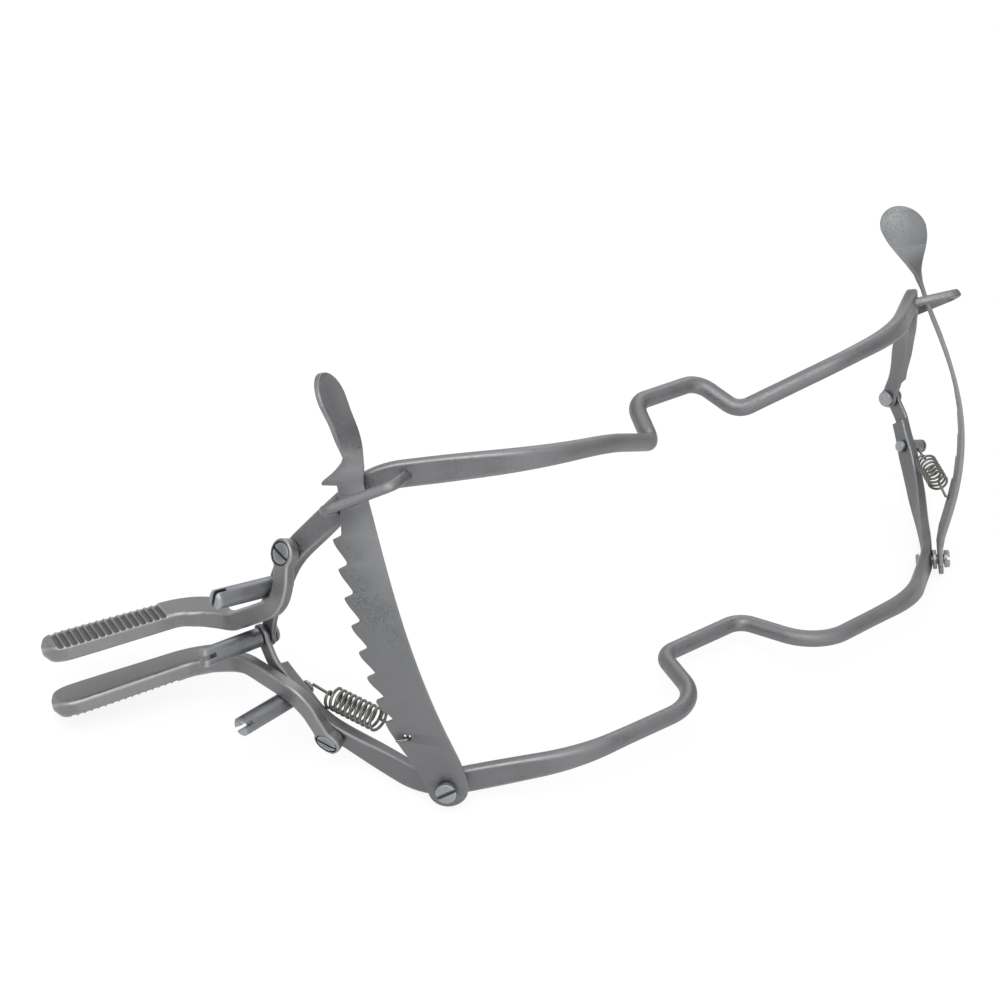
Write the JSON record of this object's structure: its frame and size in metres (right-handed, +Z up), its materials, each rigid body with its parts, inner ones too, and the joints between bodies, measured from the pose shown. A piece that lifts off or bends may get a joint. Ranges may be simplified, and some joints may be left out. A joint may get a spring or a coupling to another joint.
{
  "type": "mouth gag",
  "caption": "Two hinged steel bars bent to clear the teeth, held open by toothed side plates with thumb tabs; squeezing the finger levers behind one hinge spreads them.",
  "frame": {"origin": "centre of the bounding box in plan, on the table that the instrument lies on", "axes": "+X along the hinge axis towards the right hinge, away from the finger levers; -Y the front, where the bars cross the mouth; +Z up"},
  "size_m": [0.203, 0.0714, 0.0687],
  "materials": {
    "steel": "satin, bead blasted",
    "plate_steel": "satin, bead blasted, a little darker",
    "spring_wire": "drawn spring wire"
  },
  "bodies": {
    "lower_jaw": {"lower_frame": "steel", "hinge_post_left": "steel", "hinge_pin_right": "steel", "lower_post": "steel", "spring_post_right": "steel", "lower_lever": "steel", "lower_lever_screw": "steel", "ratchet_screw_left": "steel", "ratchet_washer_left": "steel", "ratchet_screw_right": "steel", "ratchet_washer_right": "steel", "ratchet_spring_left": "spring_wire", "ratchet_spring_right": "spring_wire"},
    "upper_jaw": {"upper_frame": "steel", "upper_post": "steel", "upper_lever": "steel", "upper_lever_screw": "steel", "ratchet_loop_left": "steel", "ratchet_loop_right": "steel"},
    "plate_left": {"ratchet_plate_left": "plate_steel"},
    "plate_right": {"ratchet_plate_right": "plate_steel"}
  },
  "joints": [
    {"name": "frame_hinge", "type": "hinge", "parent": "lower_jaw", "child": "upper_jaw", "pos_m": [0.01521, 0.01177, 0.01866], "axis": [1, 0, 0], "range_deg": [0, 40]},
    {"name": "ratchet_left", "type": "hinge", "parent": "lower_jaw", "child": "plate_left", "pos_m": [-0.0513, -0.02412, 0.00375], "axis": [0.9336, 0.3238, -0.1534], "range_deg": [0, 18.31], "deforming": ["ratchet_spring_left"]},
    {"name": "ratchet_right", "type": "hinge", "parent": "lower_jaw", "child": "plate_right", "pos_m": [0.08173, -0.02412, 0.00375], "axis": [0.9336, -0.3238, 0.1534], "range_deg": [0, 18.31], "deforming": ["ratchet_spring_right"]}
  ],
  "couplings": [
    {"joint": "ratchet_left", "follows": "frame_hinge", "ratio": 0.4562},
    {"joint": "ratchet_right", "follows": "frame_hinge", "ratio": 0.4562}
  ]
}
